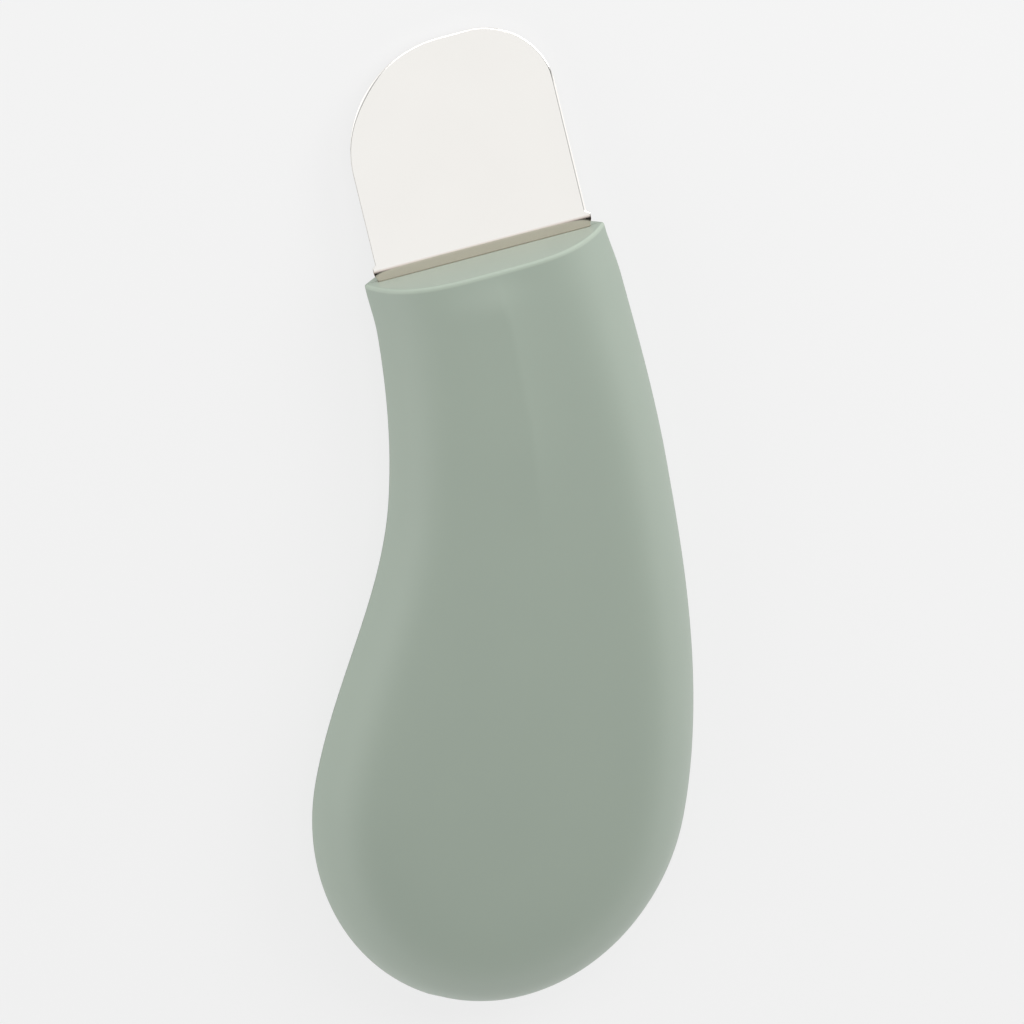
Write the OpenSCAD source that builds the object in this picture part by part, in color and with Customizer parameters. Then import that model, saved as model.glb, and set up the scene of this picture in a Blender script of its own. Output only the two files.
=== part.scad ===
// Blackhead extractor: a bent spatula blade that a piezo disc makes vibrate, in a two-shell handle.
// The object lies on a flat of its button side, with its plain side up (+Z). The blade points
// along +Y and the handle bends towards -X. All sizes are in millimetres.

/* [Handle outline] */
// Length of the handle along its middle line, from the end face to the butt
handle_l = 113.2; // [104:0.2:125]
// Angle through which the middle line bends
bend_angle = 21.9; // [0:0.1:28]
// Length of middle line that the bend takes
bend_l = 79.8; // [66:0.2:86]
// How far the end face is wider than the blade's root on each side
head_rim = 1.95; // [1.6:0.05:3]
// Sideways shift of the middle line just behind the end face
head_shift = 0.5; // [0:0.1:1]
// Length of middle line that the shift takes
head_shift_l = 8; // [4:0.5:16]
// Rise of the half width for each millimetre behind the end face
head_flare = 0.02; // [0:0.01:0.05]
// Width at the waist
waist_w = 39.2; // [37.4:0.2:43]
// Distance of the waist from the end face
waist_at = 35; // [31:0.5:40]
// Rise of the half width for each millimetre at the waist
waist_flare = 0.107; // [0.08:0.001:0.13]
// Width of the belly, the widest place
belly_w = 52.6; // [48:0.2:58]
// Distance of the belly from the butt
butt_l = 30.6; // [27:0.2:34]

/* [Handle section] */
// Depth of the plain side at the end face, from the seam to the crown
front_head_t = 7.5; // [7:0.1:8.5]
// Depth of the plain side at the belly
front_belly_t = 8.5; // [8:0.1:10]
// Depth of the button side, from the seam to the crown
rear_t = 7.5; // [7.2:0.1:8.2]
// Distance from the rim in which a side gains about two thirds of its depth
rim_round = 3.8; // [3:0.1:4.6]
// Depth of the flat that the handle lies on
rest_cut = 0.2; // [0.1:0.05:0.4]
// Height of the soft ridge along the middle of the plain side
ridge_h = 0.35; // [0:0.05:0.6]
// Reach of the ridge to each side
ridge_w = 9; // [5:0.5:14]
// Size of the broken edge round the end face
end_round = 0.4; // [0.2:0.05:0.7]

/* [Shell walls] */
// Wall of both shells
wall = 2; // [1.8:0.1:2.2]
// Wall of the end face
end_wall = 2.5; // [2:0.1:3.5]
// Height of the tongue that stands on the rear shell's rim
lip_h = 1.2; // [0.8:0.1:1.6]
// Thickness of the tongue
lip_t = 0.8; // [0.6:0.1:1]
// Gap between the tongue and its groove
lip_gap = 0.1; // [0.05:0.05:0.2]

/* [Snap hooks and ribs] */
// Distances of the hook pairs from the end face
hook_at = [28, 59, 86];
// Width of a hook
hook_w = 5; // [3:0.5:7]
// Thickness of a hook's arm
hook_t = 1; // [0.8:0.1:1.2]
// Distance of a hook's outer face from the rim
hook_inset = 4.2; // [4.1:0.1:4.6]
// How far the hook's nose reaches out
hook_nose = 0.6; // [0.4:0.1:0.7]
// Depth of the hook's foot under the seam
hook_reach = 2.7; // [2.4:0.1:3]
// Running gap round a hook
hook_gap = 0.1; // [0.05:0.05:0.2]
// How far a hook's arm runs into the wall
hook_root = 0.7; // [0.5:0.1:1]
// Height of a hook's nose
nose_h = 0.9; // [0.7:0.1:1]
// Height of the ledge that a hook catches
catch_h = 0.8; // [0.6:0.1:1]
// Distances of the plain side's ribs from the end face
front_rib_at = [31, 53];
// Distances of the button side's ribs from the end face
rear_rib_at = [76, 90];
// Thickness of a rib
rib_w = 1; // [0.8:0.1:1.4]
// Length of a rib
rib_l = 20; // [14:1:22]
// Height of a rib
rib_h = 0.7; // [0.4:0.1:0.8]

/* [Blade] */
// Thickness of the blade
blade_t = 0.8; // [0.6:0.1:1]
// Width of the blade
blade_w = 30.5; // [28:0.1:30.8]
// Length of the leaning part
blade_l = 30.1; // [26:0.1:36]
// Angle at which the blade leans to the button side
blade_lean = 10; // [4:0.5:11]
// Inner radius of the bend
blade_bend_r = 3; // [2:0.5:5]
// Corner radius on the inner side of the handle's bend
corner_left_r = 16; // [8:0.5:18]
// Corner radius on the outer side
corner_right_r = 11; // [6:0.5:12]
// Width of the ground bevel on the underside
bevel_w = 1.2; // [0.6:0.1:2]
// Depth of the bevel
bevel_t = 0.4; // [0.2:0.05:0.5]
// How far the root is narrower than the blade on each side
root_inset = 0.1; // [0:0.05:0.3]
// Straight part of the root outside the end face
root_out = 1.2; // [0.8:0.1:2]
// How far the root's ears stand out from its sides
ear = 0.4; // [0.1:0.05:0.5]
// Length of blade in which the ears run out
ear_l = 0.6; // [0.3:0.1:1]
// Straight part of the root inside the end wall
root_in = 1.4; // [1:0.1:1.8]
// How far the tang is narrower than the root on each side
tang_inset = 2.15; // [1.8:0.05:2.6]
// Length of the tang behind the end face
tang_l = 25.5; // [25:0.1:26.5]
// How far the tang's tail is narrower than the tang on each side
tail_inset = 3; // [2:0.1:4]
// Length of the tang's taper
tail_l = 6; // [4:0.5:7]

/* [Blade seal and clamp] */
// Silicone round the blade in the end wall
seal_t = 0.4; // [0.3:0.05:0.6]
// Flange of the seal inside the end wall
seal_flange = 0.8; // [0.6:0.1:1.2]
// How far the seal lies back from the end face
seal_back = 0.15; // [0:0.05:0.4]
// Distance of each clamp screw from the tang's side
clamp_side = 3.5; // [3.2:0.1:4]
// Distance of the clamp screws from the end face
clamp_y = 7.5; // [7.2:0.1:8]
// Radius of a grommet's flanges
grommet_r = 3; // [2.8:0.1:3.2]
// Radius of a grommet's neck
grommet_neck_r = 2.1; // [1.8:0.1:2.3]
// Thickness of a grommet's flange
grommet_t = 0.6; // [0.4:0.1:0.8]
// Width of the clamp plate
clamp_w = 5.6; // [5:0.1:6]
// Thickness of the clamp plate
clamp_t = 1; // [0.8:0.1:1.2]
// Radius of the screw bosses
boss_r = 2.7; // [2.2:0.1:2.8]

/* [Screws] */
// Radius of a screw's shank
screw_r = 1; // [0.9:0.05:1.1]
// Gap between a shank and its hole
screw_gap = 0.05; // [0.03:0.01:0.1]
// Radius of a screw's head
screw_head_r = 1.9; // [1.7:0.1:2.1]
// Height of a screw's head
screw_head_h = 1.3; // [1:0.1:1.5]
// Grip of a screw in its boss
screw_grip = 3.2; // [2.6:0.1:3.4]
// Width of the cross in a screw's head
cross_w = 0.5; // [0.4:0.05:0.7]

/* [Transducer] */
// Radius of the piezo disc
disc_r = 8.5; // [7:0.5:8.5]
// Thickness of the piezo disc
disc_t = 1; // [0.8:0.1:1.2]
// Radius of a lead
lead_r = 0.35; // [0.25:0.05:0.35]
// Distance of the transducer's leads from the middle
lead_x = 3; // [2:0.5:4]
// Sag of the transducer's leads
lead_sag = 0.8; // [0.4:0.1:1]
// Radius of a solder spot
solder_r = 0.9; // [0.7:0.1:1]
// Thickness of a solder spot
solder_t = 0.8; // [0.75:0.05:0.9]

/* [Circuit board] */
// Thickness of the board
board_t = 1.2; // [1:0.1:1.4]
// Widest width of the board
board_w = 29; // [28:0.5:30]
// Distance of the board's front edge from the end face
board_at = 32; // [31.6:0.1:32.6]
// Gap between the board and the shells' walls
board_gap = 3.6; // [3.4:0.1:3.9]
// Gap between the board and the socket
notch_gap = 0.1; // [0.05:0.05:0.2]
// Distance of the front board screws from the end face
front_screw_at = 37; // [36.5:0.1:37.5]
// Distance of the back board screws from the butt
back_screw_in = 13.7; // [13.2:0.1:14]
// Distance of the board screws from the middle line
board_screw_x = 11.3; // [11.2:0.05:11.5]
// Radius of the board's posts
post_r = 2.2; // [1.8:0.1:2.4]

/* [Drive parts] */
// Distance of the coil and the capacitor from the end face
drive_at = 39.5; // [39:0.1:40]
// Distance of the coil and the capacitor from the middle line
drive_x = 5.2; // [5:0.1:5.4]
// Radius of the step-up coil's ends
coil_r = 3.5; // [3:0.1:3.6]
// Height of the step-up coil
coil_h = 4.4; // [3.6:0.1:4.6]
// Thickness of the coil's ends
coil_end_t = 0.8; // [0.5:0.1:1]
// Radius of the capacitor
cap_r = 2.3; // [2:0.1:2.4]
// Length of the capacitor
cap_l = 7.5; // [6:0.1:8]
// Distance of the control chip from the end face
chip_at = 49.5; // [49:0.1:50]
// Length of the control chip
chip_l = 7; // [6:0.1:7.4]
// Width of the control chip
chip_w = 4.4; // [4:0.1:5]
// Height of the control chip
chip_h = 1.6; // [1.2:0.1:1.8]
// Distance of the control chip from the middle line
chip_x = 4.5; // [4:0.1:5]
// Number of pins on each side of the chip
chip_pins = 5; // [3:1:6]
// Width of a drive transistor
driver_w = 4.4; // [3.6:0.1:4.8]
// Length of a drive transistor
driver_l = 2.6; // [2:0.1:3]
// Height of a drive transistor
driver_h = 1.5; // [1:0.1:1.8]

/* [Battery] */
// Distance of the battery's front from the end face
battery_front = 57; // [56.5:0.1:57.5]
// Distance from the battery's back to the back board screws
battery_gap = 3.5; // [3.4:0.1:5]
// Width of the battery
battery_w = 24; // [20:0.5:25]
// Thickness of the battery
battery_t = 4.5; // [3.6:0.1:4.7]
// Corner radius of the battery
battery_r = 1.5; // [1:0.1:2]
// Thickness of the foam pad under the battery
pad_t = 0.5; // [0.3:0.1:0.7]
// Distance of the battery's plug from the middle line
plug_x = 8; // [7.6:0.1:8.4]
// Distance of the battery's socket from the end face
plug_at = 48.8; // [48.4:0.1:49.2]
// Length of the battery's plug
plug_l = 4; // [3.4:0.1:4.4]
// Width of the battery's plug
plug_w = 4.8; // [4.4:0.1:5.2]
// Height of the battery's plug
plug_h = 3; // [2.6:0.1:3.2]
// Length of the plug inside its socket
plug_in = 2.4; // [2:0.1:2.8]
// Wall of the plug's socket
plug_shell = 0.6; // [0.4:0.1:0.7]
// Height of the socket's floor over the board
plug_lift = 0.5; // [0.3:0.1:0.7]
// Distance of each battery lead from the plug's middle
lead_pitch = 1; // [0.8:0.1:1.4]

/* [Button and lights] */
// Distance of the button from the end face
button_at = 46; // [44:0.1:47]
// Radius of the button
button_r = 5.8; // [5:0.1:6]
// Gap between the button and its hole
button_gap = 0.3; // [0.25:0.05:0.4]
// Width of the flange that keeps the button in
button_flange = 1; // [0.8:0.1:1.4]
// Thickness of that flange
flange_t = 0.6; // [0.5:0.05:0.7]
// How far the button lies back from the flat
button_back = 0.3; // [0.2:0.05:0.5]
// Travel of the button
button_travel = 0.4; // [0.25:0.05:0.5]
// Depth of the finger dish in the button
button_dish = 0.25; // [0.1:0.05:0.4]
// Depth of the button's flat seat in the shell
seat_cut = 0.15; // [0.1:0.05:0.3]
// Gap between the button's flange and its seat
seat_gap = 0.1; // [0.05:0.05:0.15]
// Side of the switch's square body
switch_w = 6; // [5:0.1:6.4]
// Height of the switch's body
switch_h = 3.4; // [3:0.1:3.5]
// Size of the switch's legs
switch_leg = 0.7; // [0.5:0.1:0.9]
// Radius of the switch's plunger
plunger_r = 1.7; // [1.4:0.1:2]
// Length of the plunger inside the switch
plunger_in = 1.2; // [0.8:0.1:1.6]
// Gap round the plunger
plunger_gap = 0.08; // [0.05:0.01:0.1]
// Size of the broken edge of the button
button_edge = 0.3; // [0.2:0.05:0.5]
// Distance of the first mode light from the end face
light_at = 57; // [56:0.1:58]
// Distance between mode lights
light_pitch = 4; // [3.5:0.1:4.5]
// Number of mode lights
light_n = 3; // [1:1:3]
// Radius of a light's window
light_r = 0.9; // [0.6:0.1:1.1]
// Width of the light guide's bar
guide_w = 4; // [3:0.1:5]
// Thickness of the light guide's bar
guide_t = 0.8; // [0.6:0.1:1]
// Gap round the light guide
guide_gap = 0.05; // [0.03:0.01:0.1]
// How far the windows lie back from the flat
window_back = 0.1; // [0.05:0.05:0.3]
// Length of a light
light_l = 1.6; // [1:0.1:2]
// Height of a light
light_h = 0.6; // [0.4:0.1:0.8]

/* [Charge socket] */
// Width of the socket's metal shell
socket_w = 8.94; // [8.9:0.02:9]
// Height of the socket's metal shell
socket_h = 3.16; // [3.1:0.02:3.2]
// Length of the socket
socket_l = 7.3; // [6.8:0.1:7.6]
// Sheet that the socket's shell is made of
socket_wall = 0.3; // [0.25:0.05:0.35]
// How far the socket's mouth lies back from the butt
socket_back = 2; // [1.8:0.1:2.2]
// How far the socket's middle lies under the seam
socket_low = 1; // [0.7:0.1:1.2]
// Silicone round the socket
socket_seal_t = 0.5; // [0.4:0.05:0.7]
// Length of that silicone ring
socket_seal_l = 2; // [1.6:0.1:2.4]
// How far the ring lies back from the socket's mouth
socket_seal_in = 0.2; // [0:0.05:0.4]
// Width of the socket's board tabs
tab_w = 1; // [0.6:0.1:1.2]
// Length of the tabs
tab_l = 1.5; // [1:0.1:1.8]
// Width of the socket's tongue
tongue_w = 6.7; // [6.4:0.1:7]
// Thickness of the tongue
tongue_t = 0.7; // [0.6:0.05:0.8]
// How far the tongue lies back from the mouth
tongue_back = 1; // [0.6:0.1:1.4]
// Length of the block that holds the tongue
tongue_base = 1.5; // [1:0.1:2]

/* [Hidden] */

$fn = 48;
over = 1;                         // how far a cutting solid runs past what it cuts
crown_power = 0.9;                // shape of the crown near the rim
long_steps = 18;                  // stations from the end face to the belly
butt_steps = 14;                  // stations from the belly to the butt
across_out = 20;                  // columns across an outer surface
across_in = 16;                   // columns across an inner surface
spine_steps = 60;                 // steps that the middle line's bend is summed in
ridge_rise = 6;                   // length in which the ridge rises behind the end face
ridge_fade = 34;                  // length in which the ridge fades out before the butt

sage = [0.60, 0.66, 0.58];
steel = [0.80, 0.80, 0.79];
silicone = [0.78, 0.80, 0.77];
cream = [0.86, 0.83, 0.74];
black = [0.12, 0.12, 0.13];

// Widths that follow from the blade's
root_w = blade_w - 2 * root_inset;
head_w = root_w + 2 * head_rim;
tang_w = root_w - 2 * tang_inset;
tail_w = tang_w - 2 * tail_inset;
clamp_x = tang_w / 2 - clamp_side;

// Places that follow from the handle's length
belly_at = handle_l - butt_l;
back_screw_at = handle_l - back_screw_in;
battery_l = back_screw_at - battery_gap - battery_front;
battery_at = battery_front + battery_l / 2;

// Middle line. It runs straight through the end wall, turns by a cosine law over bend_l, and
// runs straight to the butt.
function clamp01(t) = min(1, max(0, t));
function ease(t) = let (c = clamp01(t)) c * c * (3 - 2 * c);
function turn(s) = -bend_angle * (1 - cos(180 * clamp01((s - end_wall) / bend_l))) / 2;
spine_ds = bend_l / spine_steps;
spine = [for (i = 0, p = [0, -end_wall]; i <= spine_steps;
    p = p + spine_ds * along(end_wall + (i + 0.5) * spine_ds), i = i + 1) p];
function along(s) = [sin(turn(s)), -cos(turn(s))];
function across(s) = [cos(turn(s)), sin(turn(s))];
function summed(s) = let (k = (s - end_wall) / spine_ds, i = floor(k))
    s <= end_wall ? [0, -s]
    : i >= spine_steps ? spine[spine_steps] + (s - end_wall - bend_l) * along(s)
    : spine[i] + (k - i) * (spine[i + 1] - spine[i]);
function middle(s) = summed(s) + [head_shift * ease(s / head_shift_l), 0];

// Half width of the outline at distance s, set in by d. Past the belly this is the width of the
// ellipse that the butt follows, and butt_r says how far round that ellipse s lies.
function hermite(t, l, a, b, ma, mb) = (2 * pow(t, 3) - 3 * pow(t, 2) + 1) * a
    + (pow(t, 3) - 2 * pow(t, 2) + t) * l * ma + (3 * pow(t, 2) - 2 * pow(t, 3)) * b
    + (pow(t, 3) - pow(t, 2)) * l * mb;
function body_half(s, d = 0) = (s <= waist_at
    ? hermite(s / waist_at, waist_at, head_w / 2, waist_w / 2, head_flare, waist_flare)
    : hermite(clamp01((s - waist_at) / (belly_at - waist_at)), belly_at - waist_at,
        waist_w / 2, belly_w / 2, waist_flare, 0)) - d;
function butt_r(s, d = 0) = clamp01((s - belly_at) / (handle_l - d - belly_at));
function half_w(s, d = 0) = body_half(s, d) * sqrt(1 - pow(butt_r(s, d), 2));

// Depth of a side (1 plain, -1 button) at distance s and x from the middle line, set in by d
function side_t(s, side) = side < 0 ? rear_t
    : front_head_t + (front_belly_t - front_head_t) * clamp01(s / belly_at);
function edge_power(s, d) = body_half(s, d) / rim_round;
function crown(s, rho, side, d) = (side_t(s, side) - d)
    * pow(max(0, 1 - pow(rho, edge_power(s, d))), crown_power);
function depth(s, x, side, d = 0) =
    crown(s, sqrt(pow(butt_r(s, d), 2) + pow(x / body_half(s, d), 2)), side, d);
function ridge(s, x) = ridge_h * pow(max(0, 1 - abs(x) / ridge_w), 2) * ease(s / ridge_rise)
    * (1 - ease((s - (handle_l - wall - ridge_fade)) / ridge_fade));

// Stations and columns of the lofted surfaces. A surface may start at a level above the seam.
stations = long_steps + butt_steps;
function level_rho(s, side, d, level) =
    pow(1 - pow(level / (side_t(s, side) - d), 1 / crown_power), 1 / edge_power(s, d));
function station(i, start, d, reach = 1) = i <= long_steps
    ? start + (belly_at - start) * i / long_steps
    : belly_at + (handle_l - d - belly_at) * reach * sin(90 * (i - long_steps) / butt_steps);
function column(j, n) = -cos(180 * j / n);
function surface_point(s, v, side, d, level, rise = 0) =
    let (rl = level_rho(s, side, d, level), r = min(rl, butt_r(s, d)),
        x = v * body_half(s, d) * sqrt(max(0, rl * rl - r * r)), q = middle(s) + x * across(s),
        z = abs(v) == 1 ? level : crown(s, min(rl, sqrt(r * r + pow(x / body_half(s, d), 2))), side, d))
    [q[0], q[1], side * (z + rise * ridge(s, x))];
function rim_point(i, v, d, z, start) =
    let (s = station(i, start, d), q = middle(s) + v * half_w(s, d) * across(s)) [q[0], q[1], z];

// One shell as a single skin: outer surface, stepped rim and inner surface. rim lists the rim's
// steps from outside to inside as [inset, height], and level is where the inner surface starts.
function end_point(v, side) = [v * body_half(0, end_round), 0,
    abs(v) == 1 ? 0 : side * crown(0, abs(v), side, end_round)];
function flip(f) = [for (k = [len(f) - 1:-1:0]) f[k]];
module shell_skin(side, rim, level) {
    m = len(rim);
    loop = across_out + 1 + across_in + 1 + 2 * m;
    butt_s = level_rho(belly_at, side, wall, level);
    function inner_s(i) = station(i, end_wall, wall, butt_s);
    points = [
        for (i = [0:stations - 1]) each [
            for (j = [0:across_out])
                surface_point(station(i, end_round, 0), column(j, across_out), side, 0, 0, max(0, side)),
            for (k = [0:m - 1]) rim_point(i, 1, rim[k][0], rim[k][1], end_wall),
            for (j = [across_in:-1:0])
                surface_point(inner_s(i), column(j, across_in), side, wall, level),
            for (k = [m - 1:-1:0]) rim_point(i, -1, rim[k][0], rim[k][1], end_wall)],
        rim_point(stations, 1, 0, 0, 0),
        for (k = [0:m - 1]) rim_point(stations, 1, rim[k][0], rim[k][1], 0),
        surface_point(inner_s(stations), 1, side, wall, level),
        for (j = [0:across_out]) end_point(column(j, across_out), side)];
    pole = stations * loop;
    cap = pole + m + 2;
    // number of the point k of station i; at the butt each strip closes in one point
    function group(k) = k <= across_out ? 0 : k <= across_out + m ? k - across_out
        : k <= across_out + m + across_in + 1 ? m + 1 : loop - k;
    function id(i, k) = i == stations ? pole + group(k) : i * loop + k;
    first_in = across_out + m + 1;
    last_in = first_in + across_in;
    strips = [for (i = [0:stations - 1], k = [0:loop - 1]) let (n = (k + 1) % loop)
        each [[id(i, k), id(i, n), id(i + 1, n)], [id(i, k), id(i + 1, n), id(i + 1, k)]]];
    ring = [for (j = [0:across_out - 1])
        each [[cap + j, cap + j + 1, j + 1], [cap + j, j + 1, j]]];
    end_face = [[for (j = [across_out:-1:0]) cap + j]];
    // the end wall's inner face, and its edge on the seam
    inner_row = [for (k = [first_in:last_in]) k];
    steps_in = [for (k = [across_out + 1:across_out + m]) k];
    steps_out = [for (k = [last_in + 1:last_in + m]) k];
    wall_faces = level > 0
        ? [concat(steps_in, inner_row, steps_out),
            [cap, cap + across_out, across_out, across_out + 1, loop - 1, 0]]
        : [inner_row, concat(steps_in, first_in), concat(last_in, steps_out),
            [cap, cap + across_out, across_out, across_out + 1, first_in, last_in, loop - 1, 0]];
    all_faces = concat([for (f = strips) if (f[0] != f[1] && f[1] != f[2] && f[0] != f[2]) f],
        ring, end_face, [for (f = wall_faces) flip(f)]);
    polyhedron(points, side > 0 ? all_faces : [for (f = all_faces) flip(f)], convexity = 6);
}

// Places on the middle line: children stand at distance s, x to its right, facing the blade
module at(s, x = 0, z = 0) translate(concat(middle(s), z)) rotate(turn(s)) translate([x, 0, 0]) children();
function spot(s, x, z) = let (q = middle(s) + x * across(s)) [q[0], q[1], z];

// The whole object is centred over its footprint and stands on its flat
outline = [for (i = [0:stations], v = [-1, 1]) rim_point(i, v, 0, 0, end_round)];
bend_mid_r = blade_bend_r + blade_t / 2;
blade_end = root_out + (bend_mid_r + blade_t / 2) * sin(blade_lean) + blade_l * cos(blade_lean);
x_mid = (min([for (q = outline) q[0]]) + max([for (q = outline) q[0]])) / 2;
y_mid = (min([for (q = outline) q[1]]) + blade_end) / 2;
module place() translate([-x_mid, -y_mid, rear_t - rest_cut]) children();
module to_side(v) if (v > 0) children(); else mirror([1, 0, 0]) children();

// Plain shapes. A socket bar lies along the middle line at the charge socket's level, and its y
// runs inwards from the butt.
module stadium(w, h) {
    square([w - h, h], center = true);
    for (x = [-1, 1]) translate([x * (w - h) / 2, 0]) circle(h / 2);
}
module rounded(w, l, r) {
    square([w - 2 * r, l], center = true);
    square([w, l - 2 * r], center = true);
    for (x = [-1, 1], y = [-1, 1]) translate([x * (w / 2 - r), y * (l / 2 - r)]) circle(r);
}
module block(w, l, z0, z1) translate([-w / 2, -l / 2, z0]) cube([w, l, z1 - z0]);
module rod(r, z0, z1) translate([0, 0, z0]) cylinder(r = r, h = z1 - z0);
module socket_bar(w, h, y0, y1) translate([0, y1, -socket_low]) rotate([90, 0, 0])
    linear_extrude(y1 - y0) stadium(w, h);

// A wire along a smooth curve through four guide points
wire_rings = 9;
wire_sides = 6;
function guide(p, t) = pow(1 - t, 3) * p[0] + 3 * t * pow(1 - t, 2) * p[1]
    + 3 * t * t * (1 - t) * p[2] + pow(t, 3) * p[3];
function heading(p, t) = let (v = pow(1 - t, 2) * (p[1] - p[0]) + 2 * t * (1 - t) * (p[2] - p[1])
    + t * t * (p[3] - p[2])) v / norm(v);
module wire(p, r) {
    rings = [for (i = [0:wire_rings - 1]) let (t = i / (wire_rings - 1), d = heading(p, t),
            n = cross(d, [0, 0, 1]), e = n / norm(n), f = cross(d, e))
        each [for (k = [0:wire_sides - 1]) let (a = 360 * k / wire_sides)
            guide(p, t) + r * cos(a) * e + r * sin(a) * f]];
    skin = [for (i = [0:wire_rings - 2], k = [0:wire_sides - 1])
        let (a = i * wire_sides + k, b = i * wire_sides + (k + 1) % wire_sides)
        each [[b, a, a + wire_sides], [b, a + wire_sides, b + wire_sides]]];
    last = (wire_rings - 1) * wire_sides;
    polyhedron(rings, concat(skin, [[for (k = [0:wire_sides - 1]) k],
        [for (k = [wire_sides - 1:-1:0]) last + k]]));
}

// Levels. The seam and the middle of the blade and the board all lie at z = 0.
seat_z = -(rear_t - wall + seat_cut);         // flat seats inside the button side
flat_z = -(rear_t - rest_cut);                // the flat that the handle lies on
flange_z = seat_z + seat_gap;                 // underside of the button's flange at rest
button_in_z = flange_z + flange_t;            // inner face of the button
board_z = board_t / 2;                        // faces of the board
grommet_z = blade_t / 2 + grommet_t;          // outer faces of the grommets' flanges
clamp_z = grommet_z + clamp_t;                // top of the clamp plate
pad_z = board_z + pad_t;                      // top of the battery's pad
disc_z = blade_t / 2 + disc_t;                // underside of the piezo disc
hole_r = screw_r + screw_gap;
flange_r = button_r + button_flange;
slot_w = root_w + 2 * seal_t;
slot_h = blade_t + 2 * seal_t;
slot_in = root_in + seal_t;                   // depth of the slot's wide part
throat_w = tang_w + 2 * seal_t;               // width of the rest of the slot
port_w = socket_w + 2 * socket_seal_t;
port_h = socket_h + 2 * socket_seal_t;
socket_end = socket_back + socket_l;
part_gap = 0.3;                               // room between neighbours that don't touch
light_mid = light_at + (light_n - 1) * light_pitch / 2;
guide_l = (light_n - 1) * light_pitch + 3 * guide_w / 2;
// the disc lies as far forward as the grommets and the seal let it
disc_y = max(end_wall + seal_flange + disc_r + part_gap,
    clamp_y + sqrt(pow(disc_r + grommet_r + part_gap, 2) - pow(clamp_x, 2)));

// What both shells have
module rib(s, side) at(s) mirror([0, 0, side < 0 ? 1 : 0])
    block(rib_l, rib_w, side_t(s, side) - wall - rib_h, side_t(s, side) - wall * 2 / 3);
module blade_slot() {
    block(slot_w, 2 * slot_in, -slot_h / 2, slot_h / 2);
    block(throat_w, 2 * (end_wall + over), -slot_h / 2, slot_h / 2);
}
module port_hole() at(handle_l) socket_bar(port_w, port_h, -2 * over, wall + socket_back + 2 * over);

// Plain side of the handle
module hook(s, v) at(s) to_side(v) translate([half_w(s) - hook_inset - hook_t, 0, 0]) {
    top = depth(s, half_w(s) - hook_inset - hook_t, 1, wall) + hook_root;
    translate([0, -hook_w / 2, -hook_reach]) cube([hook_t, hook_w, hook_reach + top]);
    translate([hook_t, hook_w / 2, -hook_reach]) rotate([90, 0, 0]) linear_extrude(hook_w)
        polygon([[0, 0], [hook_nose, nose_h / 3], [hook_nose, nose_h], [0, nose_h]]);
}
module front_shell() color(sage) place() difference() {
    union() {
        shell_skin(1, [[wall - lip_t - lip_gap, 0], [wall - lip_t - lip_gap, lip_h + lip_gap]],
            lip_h + lip_gap);
        for (s = hook_at, v = [-1, 1]) hook(s, v);
        for (s = front_rib_at) rib(s, 1);
    }
    blade_slot();
    port_hole();
}

// Button side of the handle
module hook_catch(s, v) at(s) to_side(v)
    translate([half_w(s) - hook_inset + hook_gap, -hook_w / 2 - hook_gap, nose_h - hook_reach + hook_gap])
        cube([hook_inset - hook_gap - wall * 0.6, hook_w + 2 * hook_gap, catch_h]);
module hook_pocket(s, v) at(s) to_side(v)
    translate([half_w(s) - hook_inset - hook_t - hook_gap, -hook_w / 2 - hook_gap,
            -hook_reach - 2 * hook_gap])
        cube([hook_t + hook_nose + 3 * hook_gap, hook_w + 2 * hook_gap, nose_h + 3 * hook_gap]);
module post(r, top, floor_t) difference() {
    rod(r, -floor_t - wall / 2, top);
    rod(hole_r, top - screw_grip - part_gap, top + over);
}
module board_screw_places() for (s = [front_screw_at, back_screw_at], v = [-1, 1])
    at(s, v * board_screw_x) children();
module clamp_places() for (v = [-1, 1]) translate([v * clamp_x, -clamp_y, 0]) children();
module light_places() for (k = [0:light_n - 1]) at(light_at + k * light_pitch) children();

module rear_shell() color(sage) place() difference() {
    union() {
        difference() {
            shell_skin(-1, [[wall - lip_t, 0], [wall - lip_t, lip_h], [wall, lip_h]], 0);
            for (s = hook_at, v = [-1, 1]) hook_pocket(s, v);
        }
        for (s = hook_at, v = [-1, 1]) hook_catch(s, v);
        for (s = rear_rib_at) rib(s, -1);
        for (s = [front_screw_at, back_screw_at], v = [-1, 1]) at(s, v * board_screw_x)
            post(post_r, -board_z, depth(s, board_screw_x, -1, wall));
        clamp_places() post(boss_r, -grommet_z, depth(clamp_y, clamp_x, -1, wall));
    }
    blade_slot();
    port_hole();
    translate([0, -handle_l / 2, 0]) block(2 * belly_w, handle_l + over, flat_z - rear_t, flat_z);
    at(button_at) {
        rod(button_r + button_gap, -rear_t - over, 0);
        translate([0, 0, flat_z - over]) cylinder(r1 = button_r + button_gap + button_back + over,
            r2 = button_r + button_gap, h = button_back + over);
        rod(flange_r + button_gap, seat_z, button_in_z);
    }
    at(light_mid) block(guide_w + 2 * guide_gap, guide_l + 2 * guide_gap, seat_z, -board_z);
    light_places() rod(light_r + guide_gap, -rear_t - over, 0);
}

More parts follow.
